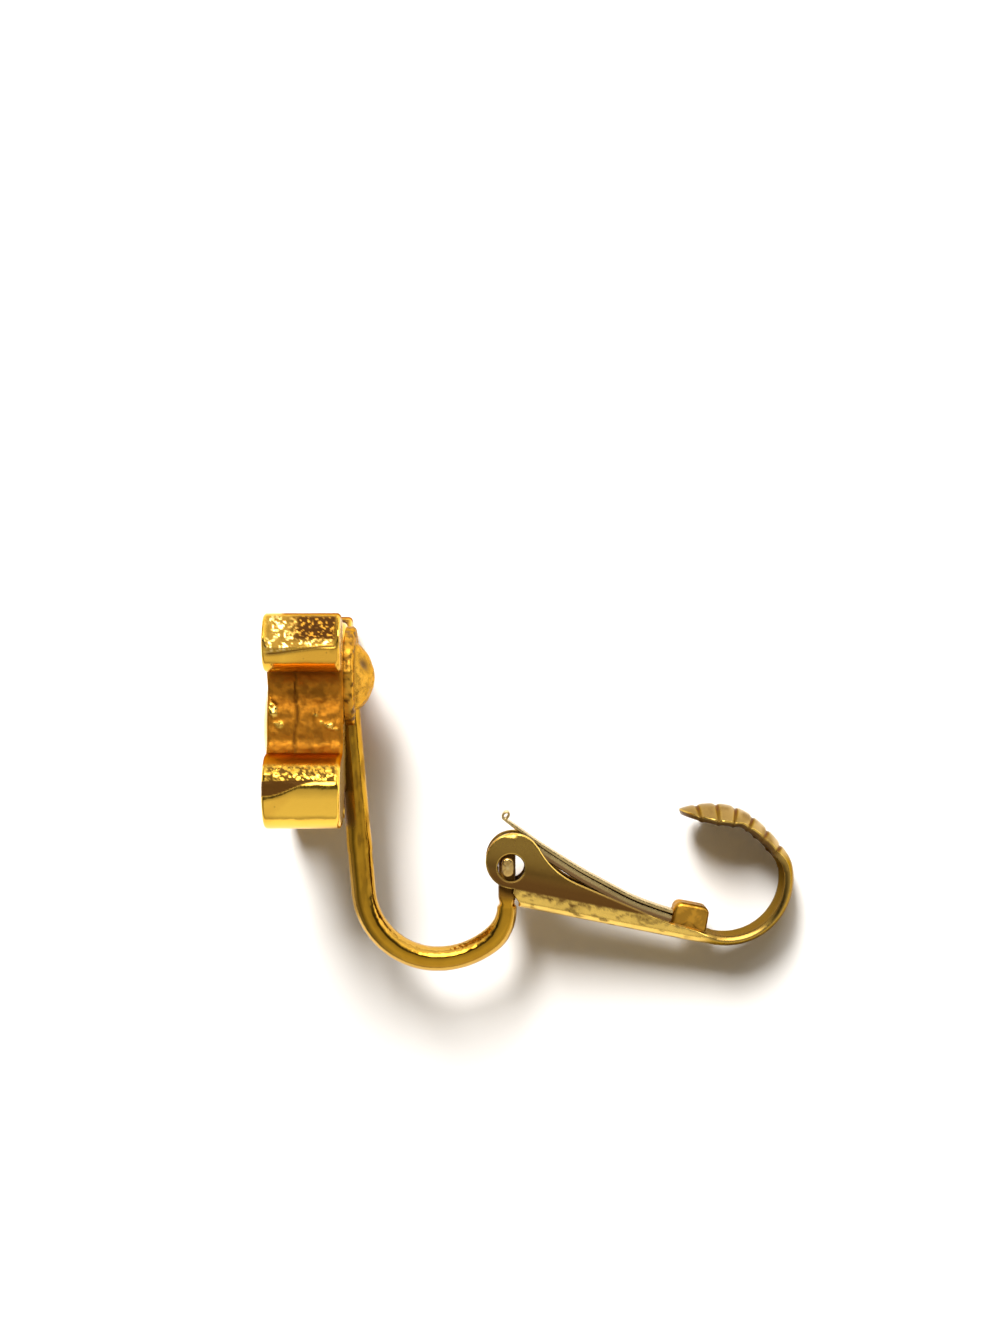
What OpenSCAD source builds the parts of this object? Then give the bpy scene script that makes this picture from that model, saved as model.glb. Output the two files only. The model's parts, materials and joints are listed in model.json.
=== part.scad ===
// Clip on earring, lying on its side as it rests by itself, with its lever open.
// Each piece is drawn upright: the hinge axis is z through the origin, x runs from
// the front towards the curl of the lever, and y runs up. lay_down() then tips it
// onto the surface and moves it to the middle of its footprint.

/* [Front] */
// Distance from the hinge axis to the flat back of the front
back_reach = 9.72; // [9.6:0.02:9.9]
// Depth of the front from its back to its face
front_depth = 4.52; // [3.6:0.02:5]
// Rise of the domed centre above the face
dome_rise = 0.48; // [0.4:0.02:1.2]
// Radius of the domed centre
dome_r = 3.2; // [2.8:0.1:3.4]
// Radius of the round body under the domed centre
hub_r = 4; // [3.5:0.1:4.2]
// Height of the middle of the front above the hinge axis
hub_y = 8.4; // [8.2:0.1:8.8]
// Width of the front across its side petals
front_span = 13.6; // [12.6:0.1:14.6]
// Height of the top of the upper side petals above the hinge axis
front_top_y = 15.16; // [14.8:0.02:15.6]
// Height of the foot of the lower side petals above the hinge axis
front_foot_y = 2.52; // [2.2:0.02:3]
// Radius of the upper side petals
upper_petal_r = 1.73; // [1.5:0.01:1.9]
// Radius of the lower side petals
lower_petal_r = 2.21; // [2:0.01:2.4]
// Radius of the top petal, which covers the solder pad
top_petal_r = 2.6; // [2.5:0.1:2.8]
// Height of the centre of the top petal
top_petal_y = 12.1; // [11.9:0.1:12.3]
// How much narrower a petal's stem is on each side than its round end
petal_waist = 0.22; // [0.1:0.02:0.4]
// Bevel around the rims of the front
rim_bevel = 0.2; // [0.1:0.02:0.3]

/* [Solder pad] */
// Radius of the pad
pad_r = 3.1; // [2.8:0.1:3.2]
// Thickness of the flat rim of the pad
pad_rim = 0.57; // [0.4:0.01:0.7]
// Radius of the pad's dome
pad_dome_r = 2.1; // [1.8:0.05:2.8]
// Rise of the pad's dome above its rim
pad_dome_rise = 1.1; // [0.8:0.05:1.2]
// Height of the middle of the pad above the hinge axis
pad_y = 11.4; // [11.2:0.1:11.6]

/* [Wire arm] */
// Diameter of the wire
wire_d = 1.5; // [1.4:0.02:1.6]
// Lean of the straight arm towards the front, in degrees
arm_lean = 5; // [4:0.5:6]
// Length of the straight arm
arm_length = 10.6; // [10.2:0.1:10.8]
// Thickness of the wire where it is pressed flat before the hinge
pressed_t = 1.12; // [1.04:0.02:1.2]
// Thickness of the flat tang between the ears
tang_t = 0.9; // [0.84:0.02:0.94]
// Width of the flat tang across the ears
tang_w = 2.1; // [2:0.02:2.2]
// Height of the rounded top of the tang above the hinge axis
tang_top = 1.36; // [1:0.02:1.5]
// Height of a hinge lug, which is an oval with flat sides
lug_h = 1.06; // [1:0.02:1.08]
// Width of a hinge lug between its flat sides
lug_w = 0.74; // [0.7:0.02:0.78]

/* [Lever] */
// Thickness of the strip
strip_t = 0.42; // [0.36:0.02:0.46]
// Width of the channel over its ears
channel_w = 3.3; // [3.26:0.02:3.4]
// Slope of the channel down from level, in degrees
lever_slope = 11.2; // [11:0.1:11.4]
// Distance from the hinge axis down to the outside of the channel's web
web_drop = 2.28; // [2.26:0.01:2.32]
// Outer radius of the bends between the web and the ears
bend_r = 1.1; // [0.9:0.05:1.2]
// Radius of the round end of each ear
ear_r = 1.68; // [1.6:0.02:1.7]
// Radius of the hinge hole in each ear
hole_r = 0.81; // [0.79:0.01:0.85]
// Length of the channel from the hinge axis to its end
channel_length = 12.6; // [12.5:0.05:12.7]
// Radius of the crown across the curl and the paddle
crown_r = 3.9; // [3.6:0.1:4.4]
// Width of the curl
curl_w = 3.3; // [3.1:0.1:3.4]
// Width of the paddle
paddle_w = 5; // [4.6:0.1:5.2]
// Distance from the hinge axis to the middle of the paddle's round end
paddle_x = 12.85; // [12.8:0.01:12.9]
// Number of ridges pressed across the paddle
ridges = 6; // [4:1:6]
// Depth of the grooves between the ridges
groove_depth = 0.1; // [0.06:0.01:0.12]

/* [Spring] */
// Thickness of the leaf spring
spring_t = 0.25; // [0.2:0.01:0.27]
// Width of the leaf spring
spring_w = 1.6; // [1.4:0.05:1.64]
// Thickness of the shorter second leaf under the first
under_leaf_t = 0.4; // [0.3:0.02:0.42]
// Radius of the rolled tip
spring_tip_r = 0.28; // [0.25:0.01:0.32]

/* [Hidden] */
$fn = 64;
cut = 0.01;
// Neighbouring bends are joined by a seam that stands this little proud of both
seam = 0.02;
far = 40;

// Petals of the front: columns are radius, distance to the side and height of the centre
top_petal = [top_petal_r, 0, top_petal_y];
upper_petal = [upper_petal_r, front_span / 2 - upper_petal_r, front_top_y - upper_petal_r];
lower_petal = [lower_petal_r, front_span / 2 - lower_petal_r, front_foot_y + lower_petal_r];
dome_sphere_r = (dome_r * dome_r + dome_rise * dome_rise) / (2 * dome_rise);
pad_sphere_r = (pad_dome_r * pad_dome_r + pad_dome_rise * pad_dome_rise) / (2 * pad_dome_rise);

// Bends of the wire, from the foot of the arm round to the hinge.
// Columns are centreline radius, start angle and end angle.
wire_bends = [
    [4.50, 180 + arm_lean, 270],
    [5.20, 270, 308.7],
    [2.53, 308.7, 360],
];
first_bend_centre = [-4.25, -1.17];
seam_turn = 1.5;
pressed_spread = 0.06;
tang_shift = -0.13;
tang_overlap = 0.2;
lug_proud = 0.1;
wire_low_y = first_bend_centre[1] - wire_bends[0][0] - wire_d / 2;

// Curl of the lever, from the end of the web round to the tip of the paddle.
// Columns are radius of the outside and end angle. Each bend meets the next one smoothly.
curl_bends = [
    [4.12, 368],
    [2.20, 393],
    [9.00, 412],
    [3.90, 445],
    [6.00, 471],
];
curl_start = 270 - lever_slope;
curl_along = 13.07;
first_paddle_bend = 2;

// Spring in the lever's own frame, where x runs along the channel and y is square to it
spring_route = [[-0.79, 2.74], [1.57, 1.66], [4.37, 0.6], [7.86, -0.47], [10.2, -0.8], [12.3, -0.8]];
spring_tail_y = spring_route[len(spring_route) - 1][1];
// The second leaf is this much narrower on each side than the first
under_leaf_step = 0.05;
// Ends of the second leaf, on the middle line of the first
under_leaf_ends = [[1.9, 1.53], [9.6, -0.715]];
tab = [10.3, 12.45];
tab_top = -0.06;
tab_corner = 0.3;
tab_w = 2.2;
tab_slot_gap = 0.06;

// Round end of each ear, and the hollow sweep of its top edge, in the lever's own frame
ear_at = [0.27, 0.43];
ear_sweep_at = [5.2, 4.37];
ear_sweep_r = 4.6;
neck_overlap = 0.6;

// The hinge hole sits a little ahead of the lug, which the spring pushes to one side
hole_shift = 0.204;

// Grooves across the paddle: distance of the first from the tip, spacing and radius
groove_first = 1.1;
groove_pitch = 1.2;
groove_r = 0.25;

// Distance from the hinge axis to the narrow root of the paddle
paddle_root_x = 17.2;

function unit(a) = [cos(a), sin(a)];

// Middle of each bend of the wire and of the curl: every bend meets the one before it smoothly
function wire_centre(i) =
    i == 0 ? first_bend_centre
    : wire_centre(i - 1) + (wire_bends[i - 1][0] - wire_bends[i][0]) * unit(wire_bends[i][1]);
function curl_from(i) = i == 0 ? curl_start : curl_bends[i - 1][1];
function curl_centre(i) =
    i == 0 ? turned([curl_along, curl_bends[0][0] - web_drop])
    : curl_centre(i - 1) + (curl_bends[i - 1][0] - curl_bends[i][0]) * unit(curl_from(i));
function turned(p) = [
    p[0] * cos(lever_slope) + p[1] * sin(lever_slope),
    p[1] * cos(lever_slope) - p[0] * sin(lever_slope),
];

// Resting place: it lies on the back rims of two side petals and on the edge of the paddle
lie_a = back_reach + rim_bevel + paddle_x;
lie_b = front_span / 2;
lie_tilt = atan2(lie_b, lie_a) - asin(paddle_w / 2 / norm([lie_a, lie_b]));
x_low = -(back_reach + front_depth) * cos(lie_tilt) - (front_span / 2 - rim_bevel) * sin(lie_tilt);
x_high = (curl_centre(0)[0] + curl_bends[0][0] - crown_r) * cos(lie_tilt) + crown_r;
y_low = wire_low_y;
z_low = -paddle_x * sin(lie_tilt) - paddle_w / 2;

module lay_down() {
    translate([-(x_low + x_high) / 2, -(y_low + front_top_y) / 2, -z_low])
        rotate([0, lie_tilt, 0]) children();
}

// Turns a flat shape so that it is drawn on the back of the front and grows towards its face
module from_back() {
    translate([-back_reach, 0, 0]) rotate([0, -90, 0]) children();
}

// A petal and its stem, from the middle of the front out to a centre at [side, height]
module petal_outline(petal, side, inset) {
    reach = norm([petal[1], petal[2] - hub_y]);
    stem = petal[0] - petal_waist - inset;
    translate([side * petal[1], petal[2]]) circle(petal[0] - inset);
    translate([0, hub_y]) rotate(atan2(petal[2] - hub_y, side * petal[1]))
        translate([0, -stem]) square([reach, 2 * stem]);
}

module front_outline(inset) {
    translate([0, hub_y]) circle(hub_r - inset);
    petal_outline(top_petal, 1, inset);
    for (side = [-1, 1]) {
        petal_outline(upper_petal, side, inset);
        petal_outline(lower_petal, side, inset);
    }
}

module cast_front() {
    from_back() {
        linear_extrude(front_depth) front_outline(rim_bevel);
        translate([0, 0, rim_bevel]) linear_extrude(front_depth - 2 * rim_bevel) front_outline(0);
        intersection() {
            translate([0, hub_y, front_depth + dome_rise - dome_sphere_r]) sphere(dome_sphere_r);
            translate([0, hub_y, front_depth - rim_bevel]) cylinder(h = dome_rise * 2, r = dome_r);
        }
    }
}

module solder_pad() {
    translate([-back_reach, pad_y, 0]) rotate([0, 90, 0]) {
        translate([0, 0, -cut]) cylinder(h = pad_rim + cut, r = pad_r);
        intersection() {
            translate([0, 0, pad_rim + pad_dome_rise - pad_sphere_r]) sphere(pad_sphere_r);
            cylinder(h = pad_rim + pad_dome_rise * 2, r = pad_dome_r);
        }
    }
}

module wire_sweep(i, from, to) {
    translate(wire_centre(i))
        rotate([0, 0, from]) rotate_extrude(angle = to - from)
            translate([wire_bends[i][0], 0]) children();
}

module wire_arm() {
    bends = wire_bends;
    foot = first_bend_centre + bends[0][0] * unit(bends[0][1]);
    hinge_foot = wire_centre(2)[1];
    translate(foot) rotate([-90, 0, arm_lean]) cylinder(h = arm_length, d = wire_d);
    for (i = [0, 1]) {
        wire_sweep(i, bends[i][1], bends[i][2]) circle(d = wire_d);
        wire_sweep(i, bends[i][1] - seam_turn, bends[i][1] + seam_turn)
            circle(d = wire_d + seam);
    }
    wire_sweep(2, bends[2][1] - 2 * seam_turn, bends[2][2]) intersection() {
        circle(d = wire_d + pressed_spread);
        square([pressed_t, 2 * wire_d], center = true);
    }
    translate([tang_shift, 0, -tang_w / 2]) linear_extrude(tang_w) {
        translate([-tang_t / 2, hinge_foot - tang_overlap])
            square([tang_t, tang_top - tang_t / 2 - hinge_foot + tang_overlap]);
        translate([0, tang_top - tang_t / 2]) circle(d = tang_t);
    }
    intersection() {
        cylinder(h = channel_w + 2 * lug_proud, d = lug_h, center = true);
        cube([lug_w, 2 * lug_h, 2 * channel_w], center = true);
    }
}

module front_and_arm() {
    color("goldenrod") lay_down() union() {
        cast_front();
        solder_pad();
        wire_arm();
    }
}

// Outline of the channel and its ears, seen from the side
module lever_side() {
    translate(ear_at) circle(ear_r);
    difference() {
        polygon([
            [0.62, 0], [0.62, -1.5], [1.08, -web_drop],
            [channel_length, -web_drop], [channel_length, -1.62],
            [10.2, -1.42], [5.75, -0.5], [4.4, 0.4], [1.5, 1.8],
        ]);
        translate(ear_sweep_at) circle(ear_sweep_r);
    }
}

// Section across the channel: x is across, y is up
module channel_section(grow) {
    half = channel_w / 2 - grow;
    r = bend_r - grow;
    flat = channel_w / 2 - bend_r;
    floor_y = -web_drop + bend_r;
    translate([-half, floor_y]) square([2 * half, 4 * ear_r]);
    translate([-flat, floor_y - r]) square([2 * flat, r + cut]);
    for (side = [-1, 1]) translate([side * flat, floor_y]) circle(r);
}

// Section across the curl: the crown is an arc, cut to the wanted width
module crown_section(r_out, w, proud = 0) {
    intersection() {
        translate([r_out - crown_r, 0]) difference() {
            circle(crown_r + proud, $fn = 96);
            circle(crown_r - strip_t - proud, $fn = 96);
        }
        translate([max(cut, r_out - crown_r), -w / 2]) square([2 * crown_r, w]);
    }
}

module curl_sweep(i, from, to, w, proud = 0) {
    translate(curl_centre(i)) rotate([0, 0, from])
        rotate_extrude(angle = to - from, $fn = 96) crown_section(curl_bends[i][0], w, proud);
}

// One bend of the curl, with the seam that joins it to the bend before it
module curl_bend(i, w) {
    from = curl_from(i);
    curl_sweep(i, from, curl_bends[i][1], w);
    curl_sweep(i, from - seam_turn, from + seam_turn, w - seam, seam / 2);
}

// Grooves are spaced along the crest, counted back from the tip of the paddle
function bend_length(i) = curl_bends[i][0] * (curl_bends[i][1] - curl_from(i)) * PI / 180;
function crest_bend(d, i) = d <= bend_length(i) ? i : crest_bend(d - bend_length(i), i - 1);
function crest_angle(d, i) =
    d <= bend_length(i) ? curl_bends[i][1] - d / curl_bends[i][0] * 180 / PI
    : crest_angle(d - bend_length(i), i - 1);

// Each groove follows the crown, so it is cut by a ring that lies across the paddle
module paddle_grooves() {
    last = len(curl_bends) - 1;
    for (k = [0 : ridges - 1]) {
        d = groove_first + k * groove_pitch;
        i = crest_bend(d, last);
        a = crest_angle(d, last);
        translate(curl_centre(i) + (curl_bends[i][0] - crown_r) * unit(a))
            rotate([90, 0, a]) rotate_extrude($fn = 96)
                translate([crown_r + groove_r - groove_depth, 0]) circle(groove_r);
    }
}

module paddle() {
    difference() {
        intersection() {
            union() {
                for (i = [first_paddle_bend : len(curl_bends) - 1]) curl_bend(i, paddle_w + 1);
            }
            rotate([-90, 0, 0]) linear_extrude(far, center = true) {
                translate([paddle_x, 0]) circle(d = paddle_w);
                polygon([
                    [paddle_x, -paddle_w / 2], [paddle_root_x, -curl_w / 2],
                    [paddle_root_x, curl_w / 2], [paddle_x, paddle_w / 2],
                ]);
            }
        }
        paddle_grooves();
    }
}

// Folded block that stands on the web and grips the end of the spring
module spring_tab() {
    slot_h = spring_t + 2 * tab_slot_gap;
    slot_w = spring_w + 2 * tab_slot_gap;
    foot_y = -web_drop + strip_t / 2;
    difference() {
        translate([0, 0, -tab_w / 2]) linear_extrude(tab_w) {
            translate([tab[0], foot_y]) square([tab[1] - tab[0], tab_top - tab_corner - foot_y]);
            translate([tab[0] + tab_corner, foot_y])
                square([tab[1] - tab[0] - 2 * tab_corner, tab_top - foot_y]);
            for (x = [tab[0] + tab_corner, tab[1] - tab_corner])
                translate([x, tab_top - tab_corner]) circle(tab_corner);
        }
        translate([tab[0] - 1, spring_tail_y - slot_h / 2, -slot_w / 2])
            cube([tab[1] - tab[0] + 2, slot_h, slot_w]);
    }
}

module channel() {
    difference() {
        intersection() {
            translate([-2 * ear_r, 0, 0]) rotate([0, 90, 0]) linear_extrude(far) difference() {
                channel_section(0);
                channel_section(strip_t);
            }
            linear_extrude(far, center = true) lever_side();
        }
        translate([hole_shift, 0, 0]) cylinder(h = far, r = hole_r, center = true);
    }
}

// Straight strip between the channel and the curl, with the curl's crown
module neck() {
    start = channel_length - neck_overlap;
    translate([start, -web_drop, 0]) rotate([0, 90, 0]) linear_extrude(curl_along - start)
        rotate(-90) translate([-crown_r, 0]) crown_section(crown_r, curl_w);
}

module clip_lever() {
    color("darkgoldenrod") lay_down() union() {
        rotate([0, 0, -lever_slope]) {
            channel();
            spring_tab();
            neck();
        }
        for (i = [0 : first_paddle_bend - 1]) curl_bend(i, curl_w);
        paddle();
    }
}

// Flat strip of even thickness that follows a list of points
module strip_along(points, t) {
    for (i = [1 : len(points) - 1]) {
        run = points[i] - points[i - 1];
        translate(points[i - 1]) {
            circle(d = t);
            rotate(atan2(run[1], run[0])) translate([0, -t / 2]) square([norm(run), t]);
        }
    }
}

// Second leaf, pressed up against the underside of the first
module second_leaf() {
    middle = [under_leaf_ends[0], spring_route[2], spring_route[3], under_leaf_ends[1]];
    top = spring_t / 4;
    bottom = spring_t / 2 + under_leaf_t;
    polygon(concat([for (p = middle) p - [0, top]], [for (i = [3 : -1 : 0]) middle[i] - [0, bottom]]));
}

module leaf_spring() {
    color("peru") lay_down() rotate([0, 0, -lever_slope]) {
        translate([0, 0, -spring_w / 2]) linear_extrude(spring_w) {
            strip_along(spring_route, spring_t);
            translate(spring_route[0]) circle(spring_tip_r);
        }
        translate([0, 0, under_leaf_step - spring_w / 2])
            linear_extrude(spring_w - 2 * under_leaf_step) second_leaf();
    }
}

front_and_arm();
clip_lever();
leaf_spring();
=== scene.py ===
# Clip on earring lying open on its side: cast front, solder pad, wire arm, clip lever and leaf spring.
import json
import math
import bmesh
import bpy
import numpy as np
from mathutils import Matrix, Vector, noise
from mathutils.geometry import delaunay_2d_cdt


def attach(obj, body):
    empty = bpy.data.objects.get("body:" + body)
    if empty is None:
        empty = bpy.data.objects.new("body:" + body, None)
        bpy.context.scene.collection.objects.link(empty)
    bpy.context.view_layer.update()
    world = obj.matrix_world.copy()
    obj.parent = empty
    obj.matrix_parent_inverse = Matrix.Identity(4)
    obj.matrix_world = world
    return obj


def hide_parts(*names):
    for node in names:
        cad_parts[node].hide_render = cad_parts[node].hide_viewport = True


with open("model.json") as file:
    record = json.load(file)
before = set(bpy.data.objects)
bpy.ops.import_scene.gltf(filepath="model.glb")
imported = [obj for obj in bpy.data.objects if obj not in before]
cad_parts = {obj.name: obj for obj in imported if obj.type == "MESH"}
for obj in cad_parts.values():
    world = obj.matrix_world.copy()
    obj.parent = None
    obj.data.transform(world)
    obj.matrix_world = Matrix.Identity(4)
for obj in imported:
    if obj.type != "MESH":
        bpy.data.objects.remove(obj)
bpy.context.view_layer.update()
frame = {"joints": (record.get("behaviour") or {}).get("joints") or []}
print("frame loaded")

# Everything is drawn upright in millimetres, hinge axis along z, then tipped over with the frame's hinge
mm = 0.001
joint = frame["joints"][0]
hingeAxis = Vector(joint["axis"]).normalized()
up = Vector((0, 1, 0))
uprightTurn = Matrix((up.cross(hingeAxis), up, hingeAxis)).transposed().to_4x4()
upright = Matrix.Translation(joint["pos_m"]) @ uprightTurn @ Matrix.Scale(mm, 4)
uprightArray = np.array(upright)


def unitAt(degrees):
    return np.array([math.cos(math.radians(degrees)), math.sin(math.radians(degrees))])


def smooth(low, high, x):
    t = np.clip((np.asarray(x, float) - low) / (high - low), 0, 1)
    return t * t * (3 - 2 * t)


def fineNoise(point, scale, octaves=2):
    return noise.fractal(Vector(point) * scale, 0.9, 2.1, octaves)


class Skin:
    # points of a piece in upright millimetres, with the masks that its material reads at each of them
    def __init__(self):
        self.points = []
        self.masks = {name: [] for name in ("dirt", "polish", "deep", "pale")}

    def add(self, point, **masks):
        self.points.append(tuple(point))
        for name, values in self.masks.items():
            values.append(float(masks.get(name, 0.0)))


def addPiece(name, skin, faces, body, node, material, sharp=50):
    world = np.asarray(skin.points, float) @ uprightArray[:3, :3].T + uprightArray[:3, 3]
    mesh = bpy.data.meshes.new(name)
    mesh.from_pydata(world.tolist(), [], faces)
    for maskName, values in skin.masks.items():
        layer = mesh.attributes.new(maskName, "FLOAT", "POINT")
        layer.data.foreach_set("value", np.asarray(values, np.float32))
    soup = bmesh.new()
    soup.from_mesh(mesh)
    bmesh.ops.remove_doubles(soup, verts=soup.verts, dist=1e-7)
    bmesh.ops.recalc_face_normals(soup, faces=soup.faces)
    soup.to_mesh(mesh)
    soup.free()
    mesh.shade_smooth()
    mesh.set_sharp_from_angle(angle=math.radians(sharp))
    mesh.materials.append(material)
    piece = bpy.data.objects.new(name, mesh)
    bpy.context.scene.collection.objects.link(piece)
    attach(piece, body)
    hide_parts(node)
    print("piece", name, len(mesh.polygons), "faces")
    return piece


def ringFaces(rings, size):
    # quads between neighbouring closed rings of points that lie one after another in the list
    faces = []
    for j in range(rings - 1):
        a, b = j * size, (j + 1) * size
        for i in range(size):
            k = (i + 1) % size
            faces.append((a + i, a + k, b + k, b + i))
    return faces


def fanFaces(first, size, centre):
    return [(first + i, first + (i + 1) % size, centre) for i in range(size)]


def fillOutline(loops, inner):
    # triangles that fill closed loops, with loose inner points; loops after the first are holes
    points, edges = [], []
    for loop in loops:
        start = len(points)
        points += [Vector(p) for p in loop]
        edges += [(start + i, start + (i + 1) % len(loop)) for i in range(len(loop))]
    made = delaunay_2d_cdt(points + [Vector(p) for p in inner], edges, [], 1, 1e-7)
    flat = np.array([tuple(p) for p in made[0]])
    middles = np.array([flat[list(face)].mean(0) for face in made[2]])
    keep = np.ones(len(middles), bool)
    for hole in loops[1:]:
        keep &= ~insideLoop(middles, np.array(hole))
    return flat, [tuple(face) for face, kept in zip(made[2], keep) if kept]


def insideLoop(points, loop):
    inside = np.zeros(len(points), bool)
    x, y = points.T
    for a, b in zip(loop, np.roll(loop, -1, 0)):
        if a[1] != b[1]:
            crosses = (a[1] > y) != (b[1] > y)
            inside ^= crosses & (x < a[0] + (y - a[1]) / (b[1] - a[1]) * (b[0] - a[0]))
    return inside


def nearest(points, others):
    best = np.full(len(points), np.inf)
    for x, y in others:
        best = np.minimum(best, np.hypot(points[:, 0] - x, points[:, 1] - y))
    return best


def loopNormals(loop):
    # outward normals of a loop that runs anticlockwise
    run = np.roll(loop, -1, 0) - np.roll(loop, 1, 0)
    out = np.stack([run[:, 1], -run[:, 0]], 1)
    return out / np.linalg.norm(out, axis=1, keepdims=True)


def angleTo(a, b):
    return math.degrees(math.atan2(b[1] - a[1], b[0] - a[0]))


def quarterRound(radius):
    # steps of a rounded edge, each as two distances that start at 0 and at the radius and change places
    turns = np.radians(np.linspace(0, 90, 6))
    return [(radius * (1 - math.cos(turn)), radius * (1 - math.sin(turn))) for turn in turns]


def arcPoints(centre, radius, start, end, step):
    count = max(2, int(abs(math.radians(end - start)) * radius / step))
    turns = [start + (end - start) * k / count for k in range(count)]
    return [tuple(np.array(centre) + radius * unitAt(turn)) for turn in turns]


def linePoints(a, b, step):
    count = max(1, int(math.dist(a, b) / step))
    return [tuple(np.array(a) + (np.array(b) - np.array(a)) * k / count) for k in range(count)]


# Camera: the photograph looks straight down the hinge axis from above
photo = {
    "high": 1333,
    "pxPerMm": 16.5,
    "distance": 135.0,
    "centre": (-0.467, 12.03),
}
camera = bpy.data.objects.new("camera", bpy.data.cameras.new("camera"))
bpy.context.scene.collection.objects.link(camera)
eye = upright @ Vector((*photo["centre"], photo["distance"]))
camera.matrix_world = Matrix.Translation(eye) @ uprightTurn
camera.data.lens = camera.data.sensor_width * photo["distance"] * photo["pxPerMm"] / photo["high"]
camera.data.clip_start = 0.005
bpy.context.scene.camera = camera
bpy.context.scene.view_settings.view_transform = "Standard"

# Light: a tall soft window above the top of the picture, and paper white all round
light = {
    "towards": (-0.15, 0.94, 1.0),
    "distance": 1.1,
    "size": (0.30, 0.54),
    "watts": 19.2,
    "tint": (1.0, 0.98, 0.95),
    "fill": 0.17,
    "fillTint": (1.0, 0.79, 0.52),
    "paper": (0.93, 0.925, 0.92),
}
window = bpy.data.objects.new("window", bpy.data.lights.new("window", "AREA"))
window.data.shape = "RECTANGLE"
window.data.size, window.data.size_y = light["size"]
window.data.energy = light["watts"]
window.data.color = light["tint"]
towards = Vector(light["towards"]).normalized()
window.location = towards * light["distance"]
window.rotation_mode = "QUATERNION"
window.rotation_quaternion = towards.to_track_quat("Z", "Y")
window.visible_glossy = False
bpy.context.scene.collection.objects.link(window)


class Nodes:
    # small helper that adds and joins nodes in one tree
    def __init__(self, tree):
        self.tree = tree
        tree.nodes.clear()

    def add(self, kind, inputs=None, **settings):
        node = self.tree.nodes.new(kind)
        for key, value in settings.items():
            setattr(node, key, value)
        for key, value in (inputs or {}).items():
            self.put(node.inputs[key], value)
        return node

    def put(self, socket, value):
        if isinstance(value, bpy.types.NodeSocket):
            self.tree.links.new(value, socket)
        elif isinstance(value, bpy.types.Node):
            self.tree.links.new(value.outputs[0], socket)
        else:
            socket.default_value = value

    def dot(self, a, way):
        node = self.add("ShaderNodeVectorMath", {0: a, 1: tuple(way)}, operation="DOT_PRODUCT")
        return node.outputs["Value"]

    def noise(self, place, scale, roughness):
        inputs = {"Vector": place, "Scale": scale, "Detail": 3.0, "Roughness": roughness}
        return self.add("ShaderNodeTexNoise", inputs).outputs[0]

    def centred(self, value, factor):
        # a value either side of 0, brought to either side of a half
        node = self.add("ShaderNodeMath", {0: value, 1: factor, 2: 0.5}, operation="MULTIPLY_ADD")
        return node.outputs[0]

    def math(self, operation, a, b=0.0, clamp=False):
        node = self.add("ShaderNodeMath", {0: a, 1: b}, operation=operation)
        node.use_clamp = clamp
        return node.outputs[0]

    def spread(self, value, low, high, outLow=0.0, outHigh=1.0):
        node = self.add("ShaderNodeMapRange", {0: value, 1: low, 2: high, 3: outLow, 4: outHigh})
        node.interpolation_type = "SMOOTHSTEP"
        return node.outputs[0]

    def mix(self, share, a, b, blend="MIX"):
        node = self.add("ShaderNodeMix", data_type="RGBA", blend_type=blend)
        self.put(node.inputs[0], share)
        self.put(node.inputs[6], a)
        self.put(node.inputs[7], b)
        return node.outputs[2]

    def ramp(self, value, stops):
        node = self.add("ShaderNodeValToRGB", {0: value})
        bar = node.color_ramp.elements
        while len(bar) < len(stops):
            bar.new(0.5)
        for element, (place, colour) in zip(bar, stops):
            element.position = place
            element.color = (*colour, 1)
        return node.outputs[0]


# The room seen in the metal. Bands run across the hinge axis, from the near wall over the ceiling to the
# window wall: degrees from straight above towards the window, and brightness. Sides dims them from left to
# right. The glow is the window's own bright spot.
room = {
    "bands": [
        (-180, 0.62), (-100, 0.62), (-88, 0.50), (-76, 0.86), (-24, 0.82), (-2, 0.60),
        (8, 0.50), (11, 0.10), (25, 0.05), (31, 0.40), (40, 1.2), (46, 2.0),
        (54, 1.9), (62, 1.5), (76, 1.2), (92, 0.6), (180, 0.62),
    ],
    "sides": [
        (-1.0, 0.8), (-0.92, 0.5), (-0.80, 0.22), (-0.62, 0.5), (-0.35, 0.95),
        (0.3, 1.0), (0.6, 0.8), (0.85, 1.3), (1.0, 1.0),
    ],
    "tint": (1.0, 0.97, 0.92),
    "peak": 3.0,
    "glow": {"towards": (-0.08, 0.62, 0.78), "starts": 0.955, "full": 0.978, "bright": 6.5},
    "paperSeen": 0.95,
}


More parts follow.
